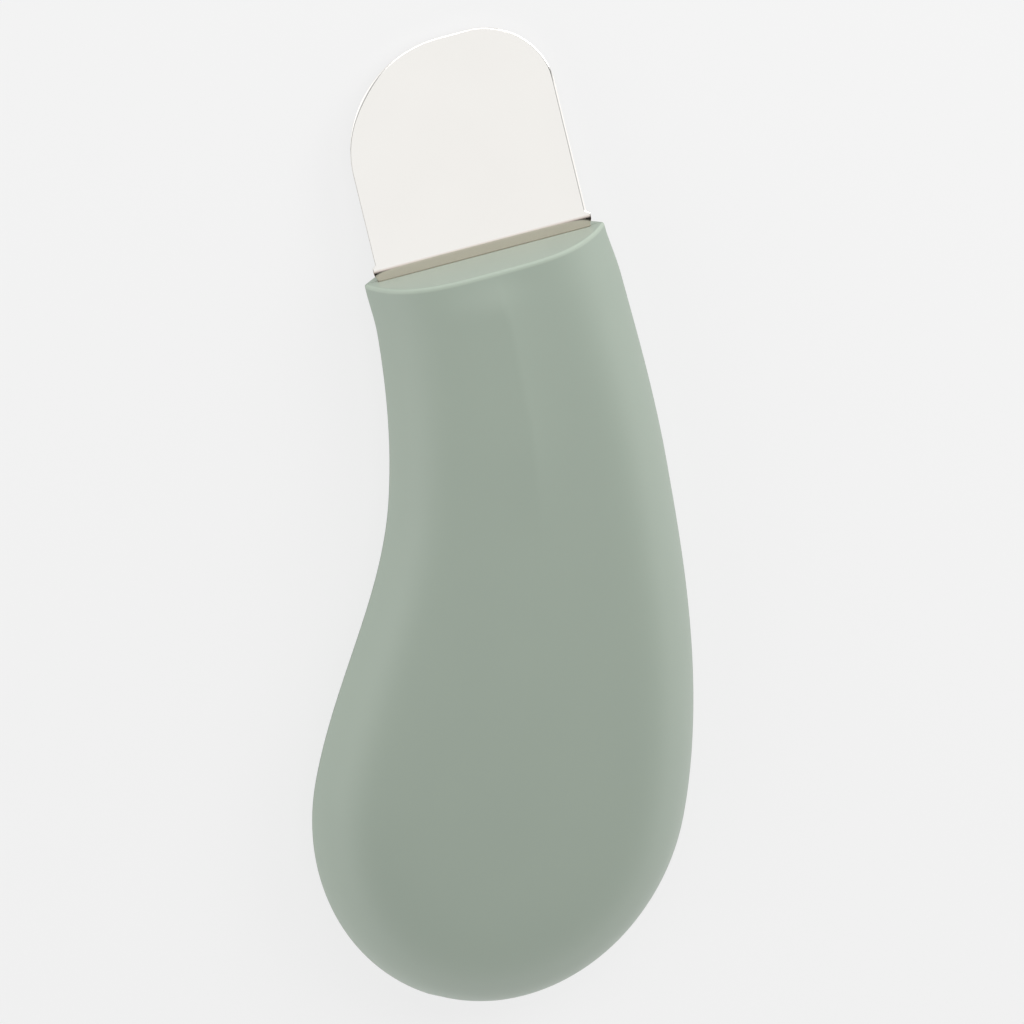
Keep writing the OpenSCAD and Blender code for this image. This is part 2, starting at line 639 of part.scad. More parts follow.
// Blade with its tang: rings of six points, from the tail of the tang to the tip. The outer pair
// lies on the outline p and the lower pair on q, which the ground bevel sets in.
widen_l = 0.3;                                // length in which the tang widens to the root
bend_steps = 4;
corner_steps = 8;
function pair(half, y) = [[-half, y], [half, y]];
function corner(k, d) = let (a = 90 * k / corner_steps, l = corner_left_r - d, r = corner_right_r - d)
    [[corner_left_r - blade_w / 2 - l * cos(a), blade_l - corner_left_r + l * sin(a)],
        [blade_w / 2 - corner_right_r + r * cos(a), blade_l - corner_right_r + r * sin(a)]];
function leaned(p, t, a) = let (r = bend_mid_r + t)
    [p[0], root_out + r * sin(a) + p[1] * cos(a), r * cos(a) - bend_mid_r - p[1] * sin(a)];
function ring(p, q, a) = let (top = blade_t / 2, low = bevel_t - top)
    [leaned(p[0], top, a), leaned(p[1], top, a), leaned(p[1], low, a),
        leaned(q[1], -top, a), leaned(q[0], -top, a), leaned(p[0], low, a)];
module blade() color(steel) place() difference() {
    flat = [[tail_w, -tang_l], [tang_w, tail_l - tang_l], [tang_w, -root_in],
        [root_w, widen_l - root_in], [root_w, 0]];
    rings = [
        for (f = flat) let (p = pair(f[0] / 2, f[1] - root_out)) ring(p, p, 0),
        for (k = [0:bend_steps]) let (p = pair(root_w / 2 + ear, 0)) ring(p, p, blade_lean * k / bend_steps),
        ring(pair(blade_w / 2, ear_l), pair(blade_w / 2 - bevel_w, ear_l), blade_lean),
        for (k = [0:corner_steps]) ring(corner(k, 0), corner(k, bevel_w), blade_lean)];
    e = 6 * (len(rings) - 1);
    polyhedron([for (r = rings) each r], concat(
        [for (i = [0:len(rings) - 2], k = [0:5]) let (a = 6 * i + k, b = 6 * i + (k + 1) % 6)
            each [[b, a, a + 6], [b, a + 6, b + 6]]],
        [[0, 1, 2, 5], [5, 2, 3, 4], [e + 5, e + 2, e + 1, e], [e + 4, e + 3, e + 2, e + 5]]));
    clamp_places() rod(grommet_neck_r, -over, over);
}

// Silicone sleeve in the end wall, with a flange behind it
module blade_seal() color(silicone) place() difference() {
    union() {
        translate([0, -(slot_in + seal_back) / 2, 0])
            block(slot_w, slot_in - seal_back, -slot_h / 2, slot_h / 2);
        translate([0, -(end_wall + root_in) / 2, 0])
            block(throat_w, end_wall - root_in, -slot_h / 2, slot_h / 2);
        translate([0, -end_wall - seal_flange / 2, 0])
            block(throat_w, seal_flange, -slot_h / 2 - seal_flange, slot_h / 2 + seal_flange);
    }
    block(root_w, 2 * root_in, -blade_t / 2, blade_t / 2);
    block(tang_w, 2 * tang_l, -blade_t / 2, blade_t / 2);
}

// Clamp of the tang: flanged grommets, a plate across them and two screws
module tang_grommets() color(silicone) place() clamp_places() difference() {
    union() {
        rod(grommet_r, -grommet_z, -blade_t / 2);
        rod(grommet_neck_r, -blade_t / 2, blade_t / 2);
        rod(grommet_r, blade_t / 2, grommet_z);
    }
    rod(hole_r, -grommet_z - over, grommet_z + over);
}
module blade_clamp() color(steel) place() difference() {
    translate([0, -clamp_y, grommet_z]) linear_extrude(clamp_t) stadium(2 * clamp_x + clamp_w, clamp_w);
    clamp_places() rod(hole_r, 0, clamp_z + over);
}
module screw(seat, foot) difference() {
    union() {
        rod(screw_r, foot, seat);
        rod(screw_head_r, seat, seat + screw_head_h);
    }
    for (a = [0, 90]) rotate(a)
        block(2.4 * screw_r, cross_w, seat + screw_head_h / 2, seat + screw_head_h + over);
}
module clamp_screws() color(steel) place() clamp_places() screw(clamp_z, -grommet_z - screw_grip);

// Piezo disc under the tang, and its leads to the board
module transducer_disc() color(cream) place() translate([0, -disc_y, 0]) rod(disc_r, -disc_z, -blade_t / 2);
module transducer_leads() color("firebrick") place() for (v = [-1, 1]) {
    a = [v * lead_x, -disc_y - disc_r / 3, -disc_z - solder_t / 2];
    b = spot(board_at + 2 * solder_r, v * lead_x, -board_z - solder_t / 2);
    wire([a, a - [0, disc_r / 3, lead_sag], b + [0, disc_r / 3, -lead_sag], b], lead_r);
    for (q = [a, b]) translate(q) rod(solder_r, -solder_t / 2, solder_t / 2);
}

// Circuit board, cut out for the charge socket, and its screws
board_inset = wall + board_gap;
function board_edge(i, v) = let (s = station(i, board_at, board_inset))
    middle(s) + v * min(board_w / 2, half_w(s, board_inset)) * across(s);
module circuit_board() color("seagreen") place() difference() {
    translate([0, 0, -board_z]) linear_extrude(board_t)
        polygon([for (i = [0:stations]) board_edge(i, 1), for (i = [stations - 1:-1:0]) board_edge(i, -1)]);
    board_screw_places() rod(hole_r, -over, over);
    at(handle_l) block(socket_w + 2 * notch_gap, 2 * (socket_end + notch_gap), -over, over);
}
module board_screws() color(steel) place() board_screw_places() screw(board_z, -board_z - screw_grip);

// Drive electronics
module control_chip() color(black) place() at(chip_at, -chip_x) {
    pitch = chip_l / (chip_pins + 1);
    block(chip_l, chip_w, board_z + chip_h / 8, board_z + chip_h);
    for (k = [1:chip_pins], v = [-1, 1])
        translate([k * pitch - chip_l / 2, v * (chip_w / 2 + pitch / 4), 0])
            block(pitch / 2, pitch / 2, board_z, board_z + chip_h / 2);
}
module step_up_coil() color([0.25, 0.25, 0.27]) place() at(drive_at, -drive_x) {
    rod(coil_r, board_z, board_z + coil_end_t);
    rod(coil_r - coil_end_t / 2, board_z + coil_end_t, board_z + coil_h - coil_end_t);
    rod(coil_r, board_z + coil_h - coil_end_t, board_z + coil_h);
}
module smoothing_capacitor() color([0.2, 0.22, 0.3]) place()
    at(drive_at, drive_x, board_z + cap_r) rotate([90, 0, 0]) rotate_extrude()
        polygon([[0, -cap_l / 2], [cap_r, -cap_l / 2], [cap_r, cap_l * 0.25], [cap_r * 0.9, cap_l * 0.28],
            [cap_r, cap_l * 0.31], [cap_r, cap_l / 2], [0, cap_l / 2]]);
module drive_transistors() color(black) place() for (v = [-1, 1]) at(drive_at, v * drive_x) {
    block(driver_w, driver_l, -board_z - driver_h, -board_z);
    for (k = [-1:1]) translate([k * driver_w / 3, driver_l / 2 + driver_h / 4, 0])
        block(driver_w / 8, driver_h / 2, -board_z - driver_h / 3, -board_z);
}

// Switch under the board, its plunger and the button
switch_z = -board_z - switch_h;
module tact_switch() color(black) place() at(button_at) difference() {
    union() {
        block(switch_w, switch_w, switch_z, -board_z);
        for (x = [-1, 1], y = [-1, 1]) translate([x * (switch_w + switch_leg) / 2, y * switch_w / 3, 0])
            block(switch_leg, switch_leg, -board_z - switch_leg, -board_z);
    }
    rod(plunger_r + plunger_gap, switch_z - over, switch_z + plunger_in + button_travel + plunger_gap);
}
module switch_plunger() color("white") place() at(button_at)
    rod(plunger_r, button_in_z, switch_z + plunger_in);
dish_steps = 5;
module button_cap() color(sage) place() at(button_at) {
    face = flat_z + button_back;
    dish = [for (k = [0:dish_steps]) let (q = k / dish_steps)
        [q * (button_r - 2 * button_edge), face + button_dish * (1 - q * q)]];
    rotate_extrude() polygon(concat(dish, [[button_r - button_edge, face], [button_r, face + button_edge],
        [button_r, flange_z], [flange_r, flange_z], [flange_r, button_in_z], [0, button_in_z]]));
}

// Mode lights and the clear guide that carries their light out
module mode_lights() color("white") place() light_places()
    block(light_l, light_l / 2, -board_z - light_h, -board_z);
module light_guide() color([0.9, 0.95, 0.95]) place() {
    at(light_mid) block(guide_w, guide_l, seat_z, seat_z + guide_t);
    light_places() rod(light_r, flat_z + window_back, -board_z - light_h - part_gap);
}

// Battery on its pad, and its leads, plug and socket
plug_z = board_z + plug_lift + plug_h / 2;
module battery() color([0.75, 0.76, 0.78]) place() at(battery_at, 0, pad_z)
    linear_extrude(battery_t) rounded(battery_w, battery_l, battery_r);
module battery_pad() color(black) place() at(battery_at)
    block(battery_w - 2 * battery_r, battery_l - 2 * battery_r, board_z, pad_z);
module battery_socket() color(cream) place() at(plug_at, plug_x) difference() {
    block(plug_w + 2 * plug_shell, plug_l, board_z, plug_z + plug_h / 2 + plug_shell);
    translate([0, -plug_l / 2, 0]) block(plug_w, 2 * plug_in, plug_z - plug_h / 2, plug_z + plug_h / 2);
}
module battery_plug() color("white") place() at(plug_at, plug_x)
    translate([0, plug_in - plug_l, 0]) block(plug_w, plug_l, plug_z - plug_h / 2, plug_z + plug_h / 2);
module battery_leads() color("firebrick") place() for (v = [-1, 1]) {
    out = concat(along(plug_at), 0);
    in = concat(along(battery_at), 0);
    a = spot(plug_at, plug_x + v * lead_pitch, plug_z) + (1.5 * plug_l - plug_in) * out;
    b = spot(battery_at, plug_x + v * lead_pitch, plug_z) - battery_l / 2 * in;
    wire([a, a + lead_pitch * out, b - lead_pitch * in, b], lead_r);
}

// Charge socket in the butt: metal shell, tongue and silicone ring
module charge_socket() color(steel) place() at(handle_l) {
    difference() {
        socket_bar(socket_w, socket_h, socket_back, socket_end);
        socket_bar(socket_w - 2 * socket_wall, socket_h - 2 * socket_wall, 0, socket_end - socket_wall);
    }
    for (v = [-1, 1]) to_side(v)
        translate([socket_w / 2 - socket_wall, socket_end - 1.5 * tab_l, -board_z - socket_wall])
            cube([tab_w + socket_wall, tab_l, socket_wall]);
}
module socket_tongue() color(black) place() at(handle_l) {
    base = socket_end - socket_wall;
    socket_bar(socket_w - 2 * socket_wall, socket_h - 2 * socket_wall, base - tongue_base, base);
    translate([-tongue_w / 2, socket_back + tongue_back, -tongue_t / 2 - socket_low])
        cube([tongue_w, base - socket_back - tongue_back, tongue_t]);
}
module socket_seal() color(silicone) place() at(handle_l) difference() {
    socket_bar(port_w, port_h, socket_back + socket_seal_in, socket_back + socket_seal_in + socket_seal_l);
    socket_bar(socket_w, socket_h, 0, socket_end);
}

front_shell();
rear_shell();
blade();
blade_seal();
tang_grommets();
blade_clamp();
clamp_screws();
transducer_disc();
transducer_leads();
circuit_board();
board_screws();
control_chip();
step_up_coil();
smoothing_capacitor();
drive_transistors();
tact_switch();
switch_plunger();
button_cap();
mode_lights();
light_guide();
battery();
battery_pad();
battery_leads();
battery_socket();
battery_plug();
charge_socket();
socket_tongue();
socket_seal();
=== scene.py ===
import math

import bmesh
import bpy
from mathutils import Matrix, Vector


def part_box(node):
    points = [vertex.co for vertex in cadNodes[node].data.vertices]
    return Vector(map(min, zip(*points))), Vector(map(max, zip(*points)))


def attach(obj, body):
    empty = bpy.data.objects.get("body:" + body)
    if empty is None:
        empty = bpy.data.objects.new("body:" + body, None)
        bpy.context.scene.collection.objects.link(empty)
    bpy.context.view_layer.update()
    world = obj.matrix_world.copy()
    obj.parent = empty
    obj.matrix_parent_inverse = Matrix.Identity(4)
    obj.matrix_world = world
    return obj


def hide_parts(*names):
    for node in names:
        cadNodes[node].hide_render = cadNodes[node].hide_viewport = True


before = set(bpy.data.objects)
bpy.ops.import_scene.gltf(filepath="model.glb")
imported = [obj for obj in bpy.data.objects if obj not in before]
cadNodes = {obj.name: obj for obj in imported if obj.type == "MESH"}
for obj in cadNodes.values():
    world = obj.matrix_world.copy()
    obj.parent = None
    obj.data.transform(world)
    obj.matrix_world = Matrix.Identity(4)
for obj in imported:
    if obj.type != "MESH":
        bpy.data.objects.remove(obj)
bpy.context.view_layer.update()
scene = bpy.context.scene
mm = 0.001
print("frame loaded:", len(cadNodes), "nodes")


def feed(tree, place, value):
    if isinstance(value, Wire):
        tree.links.new(value.socket, place)
    else:
        place.default_value = value


class Wire:
    # a socket that can stand in a sum or product; the reflected forms let 1 - mask work
    def __init__(self, tree, socket):
        self.tree = tree
        self.socket = socket

    def made(self, operation, *values):
        node = self.tree.nodes.new("ShaderNodeMath")
        node.operation = operation
        for place, value in zip(node.inputs, values):
            feed(self.tree, place, value)
        return Wire(self.tree, node.outputs[0])

    def __add__(self, other): return self.made("ADD", self, other)
    def __radd__(self, other): return self.made("ADD", other, self)
    def __sub__(self, other): return self.made("SUBTRACT", self, other)
    def __rsub__(self, other): return self.made("SUBTRACT", other, self)
    def __mul__(self, other): return self.made("MULTIPLY", self, other)
    def __rmul__(self, other): return self.made("MULTIPLY", other, self)


class Finish:
    # one material; what is the same all over goes straight onto the shader's sockets
    def __init__(self, name, fixed):
        self.material = bpy.data.materials.new(name)
        self.material.use_nodes = True
        self.tree = self.material.node_tree
        self.shader = self.tree.nodes["Principled BSDF"]
        for socket, value in fixed.items():
            self.shader.inputs[socket].default_value = value

    def node(self, kind, settings, values, out=0):
        made = self.tree.nodes.new("ShaderNode" + kind)
        for name, value in settings.items():
            setattr(made, name, value)
        for socket, value in values.items():
            feed(self.tree, made.inputs[socket], value)
        return Wire(self.tree, made.outputs[out])

    def vary(self, socket, wire):
        feed(self.tree, self.shader.inputs[socket], wire)

    def scaled(self, size, stretch=(1, 1, 1)):
        place = self.node("TexCoord", {}, {}, "Object")
        return self.node("VectorMath", {"operation": "MULTIPLY"},
            {0: place, 1: [k / (size * mm) for k in stretch]})

    def cloud(self, size, detail=2.0, stretch=(1, 1, 1)):
        # soft noise from 0 to 1 whose lumps are about size millimetres wide
        place = self.scaled(size, stretch)
        return self.node("TexNoise", {}, {"Vector": place, "Scale": 1.0, "Detail": detail})

    def stepped(self, wire, low, high):
        return self.node("MapRange", {"interpolation_type": "SMOOTHSTEP"},
            {"Value": wire, "From Min": low, "From Max": high})

    def past(self, reach):
        # rises from 0 to 1 between two distances in front of the handle's end face, in millimetres
        along = self.node("SeparateXYZ", {}, {0: self.node("TexCoord", {}, {}, "Object")}, 1)
        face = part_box("front_shell")[1].y
        return self.stepped(along, face + reach[0] * mm, face + reach[1] * mm)

    def mixed(self, mask, first, second):
        return self.node("Mix", {"data_type": "RGBA"}, {0: mask, 6: first, 7: second}, 2)

    def bumped(self, height, depth, strength=1.0):
        # depth is the relief's real height in millimetres
        return self.node("Bump", {}, {"Height": height, "Distance": depth * mm, "Strength": strength})


def rgb(red, green, blue):
    # a colour as a paint program shows it, turned to the linear one that the shader uses
    return [(c / 12.92 if c <= 0.04045 else ((c + 0.055) / 1.055) ** 2.4)
        for c in (red / 255, green / 255, blue / 255)] + [1.0]


mouldedUsual = {"ior": 1.5, "patch": 14, "grain": 0.28, "relief": 0.004, "bite": 0.6,
    "rub": 5, "rubGloss": 0.05, "grainGloss": 0.03}    # patch, grain, relief and rub in millimetres


def moulded(name, look):
    # plastic from a mould: two near shades, a fine grain, gloss that wanders a little,
    # and for the handle a paler edge round its end face, which is a painted highlight on that rounded edge
    look = {**mouldedUsual, **look}
    finish = Finish(name, {"IOR": look["ior"]})
    shades = finish.cloud(look["patch"], 3)
    colour = finish.mixed(shades, rgb(*look["shade"]), rgb(*look["second"]))
    # painted highlight: a paler band of colour in the last 0.75 mm before the handle's end face
    if "edge" in look:
        paintedHighlight = finish.past(look["edgeFrom"]) * (1 - finish.past(look["edgeTo"]))
        colour = finish.mixed(paintedHighlight, colour, rgb(*look["edge"]))
    finish.vary("Base Color", colour)
    grain = finish.cloud(look["grain"], 2)
    rub = finish.cloud(look["rub"], 4)
    finish.vary("Roughness",
        look["rough"] + look["rubGloss"] * (rub - 0.5) + look["grainGloss"] * (grain - 0.5))
    finish.vary("Normal", finish.bumped(grain, look["relief"], look["bite"]))
    return finish


# the edge colour and its two reaches are a painted highlight along the rounded edge of the end face
sageLook = {"shade": (157, 169, 157), "second": (159, 171, 158), "rough": 0.42, "grain": 0.3, "relief": 0.003,
    "edge": (174, 186, 172), "edgeFrom": (-0.75, -0.45), "edgeTo": (-0.06, -0.01)}
sage = moulded("sagePlastic", sageLook)

buttonLook = {"shade": (140, 152, 139), "second": (143, 155, 142), "rough": 0.36, "grain": 0.22,
    "relief": 0.003}
buttonPlastic = moulded("buttonPlastic", buttonLook)

silicone = moulded("silicone", {"shade": (228, 232, 222), "second": (233, 236, 227), "rough": 0.55,
    "grain": 0.15, "relief": 0.002, "ior": 1.41})
blackPlastic = moulded("blackPlastic", {"shade": (26, 26, 28), "second": (33, 33, 35), "rough": 0.45,
    "grain": 0.12})
whitePlastic = moulded("whitePlastic", {"shade": (232, 232, 228), "second": (224, 224, 219), "rough": 0.4})
creamPlastic = moulded("creamPlastic", {"shade": (222, 214, 190), "second": (214, 205, 180), "rough": 0.42})
ferrite = moulded("ferrite", {"shade": (56, 56, 60), "second": (70, 70, 74), "rough": 0.6, "grain": 0.1,
    "relief": 0.012})
ceramic = moulded("ceramic", {"shade": (218, 209, 188), "second": (226, 219, 200), "rough": 0.3,
    "grain": 0.08, "relief": 0.003})
redWire = moulded("redWire", {"shade": (170, 36, 34), "second": (154, 30, 29), "rough": 0.35})
foam = moulded("foam", {"shade": (44, 44, 46), "second": (30, 30, 32), "rough": 0.9, "grain": 0.35,
    "relief": 0.12})
print("plastics, rubber and foam made")


steelUsual = {"stretch": 0.02, "haze": 9, "hazeGloss": 0.04, "layGloss": 0.03, "bite": 0.5}


def steel(name, look):
    # sheet or wire: a faint lay of fine lines along it, cloudy gloss, and for the blade a warmer, darker
    # root, which is a painted reflection of the handle's end face and painted shade
    look = {**steelUsual, **look}
    finish = Finish(name, {"Metallic": 1.0})
    lines = finish.cloud(look["lay"], 2, (1, look["stretch"], 1))
    haze = finish.cloud(look["haze"], 3)
    colour = finish.mixed(haze, rgb(*look["shade"]), rgb(*look["second"]))
    # painted reflection and shade: a warmer, darker colour on the blade up to about 1.4 to 1.9 mm past the
    # end face
    if "root" in look:
        colour = finish.mixed(finish.past(look["rootEnd"]), rgb(*look["root"]), colour)
    finish.vary("Base Color", colour)
    finish.vary("Roughness", look["rough"] + look["hazeGloss"] * haze + look["layGloss"] * lines)
    finish.vary("Normal", finish.bumped(lines, look["relief"], look["bite"]))
    return finish


# the root colour is a painted reflection of the handle's end face and painted shade near the blade's root
steelLook = {"shade": (243, 241, 237), "second": (247, 245, 241), "rough": 0.09, "lay": 0.05,
    "relief": 0.0002, "root": (230, 217, 207), "rootEnd": (1.4, 1.9)}
bladeSteel = steel("polishedSteel", steelLook)
plainSteel = steel("plainSteel", {"shade": (176, 176, 174), "second": (188, 188, 186), "rough": 0.28,
    "lay": 0.08, "relief": 0.002})
socketSteel = steel("socketSteel", {"shade": (196, 197, 198), "second": (206, 207, 208), "rough": 0.22,
    "lay": 0.1, "relief": 0.001})
print("steels made")


def boardMask():
    # solder mask over copper: tracks show as slightly paler, raised lines
    finish = Finish("boardMask", {"IOR": 1.52, "Coat Weight": 0.25})
    tracks = finish.node("TexBrick", {}, {"Vector": finish.scaled(1), "Scale": 0.45, "Mortar Size": 0.09,
        "Mortar Smooth": 0.2, "Color1": (0, 0, 0, 1), "Color2": (0, 0, 0, 1), "Mortar": (1, 1, 1, 1)}, 1)
    haze = finish.cloud(3, 3)
    plain = finish.mixed(haze, rgb(22, 84, 52), rgb(28, 96, 60))
    finish.vary("Base Color", finish.mixed(tracks, plain, rgb(46, 122, 78)))
    finish.vary("Roughness", 0.32 + 0.1 * haze)
    finish.vary("Normal", finish.bumped(tracks, 0.03, 0.7))
    return finish


def pouchFoil():
    # crimped foil round the cell, with broad soft creases
    finish = Finish("pouchFoil", {"Metallic": 1.0})
    creases = finish.cloud(4, 5)
    fine = finish.cloud(0.6, 3)
    finish.vary("Base Color", finish.mixed(creases, rgb(186, 188, 192), rgb(206, 208, 212)))
    finish.vary("Roughness", 0.3 + 0.15 * creases)
    finish.vary("Normal", finish.bumped(creases + 0.3 * fine, 0.25, 0.7))
    return finish


def canSleeve():
    # the capacitor's shrunk sleeve, with a pale stripe down one side
    finish = Finish("canSleeve", {"IOR": 1.5, "Coat Weight": 0.3})
    upward = finish.node("SeparateXYZ", {}, {0: finish.node("TexCoord", {}, {}, "Normal")}, 2)
    stripe = finish.stepped(upward, 0.86, 0.9)
    finish.vary("Base Color", finish.mixed(stripe, rgb(30, 34, 52), rgb(150, 154, 166)))
    finish.vary("Roughness", 0.3 + 0.1 * finish.cloud(2, 2))
    return finish


def clearGuide():
    # clear moulding, frosted where the windows end
    finish = Finish("clearGuide", {"IOR": 1.49, "Transmission Weight": 0.75})
    frost = finish.cloud(0.2, 3)
    finish.vary("Base Color", finish.mixed(frost, rgb(236, 241, 240), rgb(246, 249, 248)))
    finish.vary("Roughness", 0.25 + 0.2 * frost)
    finish.vary("Normal", finish.bumped(frost, 0.004, 0.5))
    return finish


finishOf = {
    "blade_clamp": plainSteel, "clamp_screws": plainSteel, "board_screws": plainSteel,
    "blade_seal": silicone, "tang_grommets": silicone, "socket_seal": silicone,
    "transducer_disc": ceramic, "transducer_leads": redWire, "battery_leads": redWire,
    "circuit_board": boardMask(), "control_chip": blackPlastic, "drive_transistors": blackPlastic,
    "tact_switch": blackPlastic, "switch_plunger": whitePlastic, "socket_tongue": blackPlastic,
    "step_up_coil": ferrite, "smoothing_capacitor": canSleeve(), "mode_lights": whitePlastic,
    "light_guide": clearGuide(), "battery": pouchFoil(), "battery_pad": foam,
    "battery_socket": creamPlastic, "battery_plug": whitePlastic, "charge_socket": socketSteel,
}
for name, finish in finishOf.items():
    mesh = cadNodes[name].data
    mesh.materials.clear()
    mesh.materials.append(finish.material)
print("finishes given to", len(finishOf), "nodes")


handle = {
    "length": 113.2,        # along its middle line
    "bendAngle": 21.9, "bendStart": 2.5, "bendLength": 79.8,
    "headShift": 0.5, "shiftLength": 8.0,
    "headHalf": 17.1, "headFlare": 0.02,
    "waistHalf": 19.6, "waistAt": 35.0, "waistFlare": 0.107,
    "bellyHalf": 26.3, "bellyAt": 82.6,
    "frontHead": 7.5, "frontBelly": 8.5, "rear": 7.5,
    "rimRound": 3.8, "rimHeadFront": 4.6, "rimHeadRear": 8.0, "rimSettled": 30.0,
    "crownPower": 0.9, "restCut": 0.2,
    "ridgeHeight": 1.0, "ridgeLow": 0.42, "ridgeLeft": 17.0, "ridgeRight": 8.0,
    "ridgeRise": 6.0, "ridgeDrop": (24.0, 42.0), "ridgeFade": (60.0, 92.0),
    "endRound": 0.4, "wall": 2.0, "endWall": 2.5,
    "partingLine": 0.06, "grooveDepth": 0.5,    # half of the groove where the shells meet, and its depth
}

bladeLow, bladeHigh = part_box("blade")
seam = handle["rear"] - handle["restCut"]    # height of the shells' joint over the flat that the tool lies on
origin = Vector(((bladeLow.x + bladeHigh.x) / 2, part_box("front_shell")[1].y, seam * mm))


def placed(point):
    # from the end face's own frame, in millimetres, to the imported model's frame
    return origin + Vector(point) * mm


def ease(t):
    # soft start and soft end between 0 and 1
    t = min(1, max(0, t))
    return t * t * (3 - 2 * t)


def turnAt(s):
    # how far the middle line has turned at distance s from the end face
    t = min(1, max(0, (s - handle["bendStart"]) / handle["bendLength"]))
    return -math.radians(handle["bendAngle"]) * (1 - math.cos(math.pi * t)) / 2


def middleTable(step=0.1):
    # the middle line, summed in short steps once
    table = [(0.0, 0.0)]
    for i in range(int(handle["length"] / step) + 2):
        a = turnAt((i + 0.5) * step)
        table.append((table[-1][0] + step * math.sin(a), table[-1][1] - step * math.cos(a)))
    return table, step


middleLine = middleTable()


def middleAt(s):
    table, step = middleLine
    i = min(len(table) - 2, int(s / step))
    t = s / step - i
    x, y = (table[i][k] + t * (table[i + 1][k] - table[i][k]) for k in (0, 1))
    return x + handle["headShift"] * ease(s / handle["shiftLength"]), y


def hermite(t, length, a, b, slopeA, slopeB):
    return ((2 * t ** 3 - 3 * t ** 2 + 1) * a + (t ** 3 - 2 * t ** 2 + t) * length * slopeA
        + (3 * t ** 2 - 2 * t ** 3) * b + (t ** 3 - t ** 2) * length * slopeB)


def bodyHalf(s):
    # half of the handle's width, from head to waist and from waist to belly
    waistAt, waistHalf, flare = handle["waistAt"], handle["waistHalf"], handle["waistFlare"]
    if s <= waistAt:
        return hermite(s / waistAt, waistAt, handle["headHalf"], waistHalf, handle["headFlare"], flare)
    run = handle["bellyAt"] - waistAt
    return hermite(min(1, (s - waistAt) / run), run, waistHalf, handle["bellyHalf"], flare, 0)


def skinPoint(s, across, side, inset):
    # across runs from -1 at the left rim to 1 at the right
    # side is 1 for the plain shell and -1 for the button's shell
    half = bodyHalf(s) - inset
    butt = min(1, max(0, (s - handle["bellyAt"]) / (handle["length"] - inset - handle["bellyAt"])))
    narrowed = math.sqrt(max(0, 1 - butt * butt))
    rho = math.hypot(butt, across * narrowed)
    depth = handle["rear"] if side < 0 else (handle["frontHead"]
        + (handle["frontBelly"] - handle["frontHead"]) * min(1, s / handle["bellyAt"]))
    rim = handle["rimRound"]
    if inset < handle["wall"]:    # outside, the rim is rounder at the head
        headRim = handle["rimHeadRear"] if side < 0 else handle["rimHeadFront"]
        rim = headRim + (rim - headRim) * ease(s / handle["rimSettled"])
    z = (depth - inset) * max(0, 1 - min(1, rho) ** (half / rim)) ** handle["crownPower"]
    x = across * half * narrowed
    if side > 0 and inset < handle["wall"]:
        reach = handle["ridgeLeft"] if x < 0 else handle["ridgeRight"]
        drop, fade = (ease((s - a) / (b - a)) for a, b in (handle["ridgeDrop"], handle["ridgeFade"]))
        high = handle["ridgeHeight"] + (handle["ridgeLow"] - handle["ridgeHeight"]) * drop
        z += high * max(0, 1 - abs(x) / reach) ** 2 * ease(s / handle["ridgeRise"]) * (1 - fade)
    a = turnAt(s)
    mx, my = middleAt(s)
    return (mx + x * math.cos(a), my + x * math.sin(a), side * z)


shellMesh = {"roundSteps": 6, "shortStep": 0.02, "longSteps": 90, "buttSteps": 40, "columns": 96,
    "merge": 0.001, "flatten": 0.0001}


def newPiece(name, body):
    mesh = bpy.data.meshes.new(name)
    body.to_mesh(mesh)
    body.free()
    piece = bpy.data.objects.new(name, mesh)
    scene.collection.objects.link(piece)
    return piece


def rowList(inset, start):
    # distance from the end face and inset of each row; the outer skin starts with the rounded edge
    e, bellyAt, steps = handle["endRound"], handle["bellyAt"], shellMesh["roundSteps"]
    longSteps, buttSteps = shellMesh["longSteps"], shellMesh["buttSteps"]
    if inset == 0:
        turns = [math.pi / 2 * k / steps for k in range(steps)]
        rows = [(e * (1 - math.cos(a)), e * (1 - math.sin(a))) for a in turns]
        start = e
    else:
        rows = [(start + shellMesh["shortStep"] * k, inset) for k in range(steps)]
        start += shellMesh["shortStep"] * steps
    end = handle["length"] - inset
    rows += [(start + (bellyAt - start) * k / longSteps, inset) for k in range(longSteps)]
    rows += [(bellyAt + (end - bellyAt) * math.sin(math.pi / 2 * k / buttSteps), inset)
        for k in range(buttSteps + 1)]
    return rows


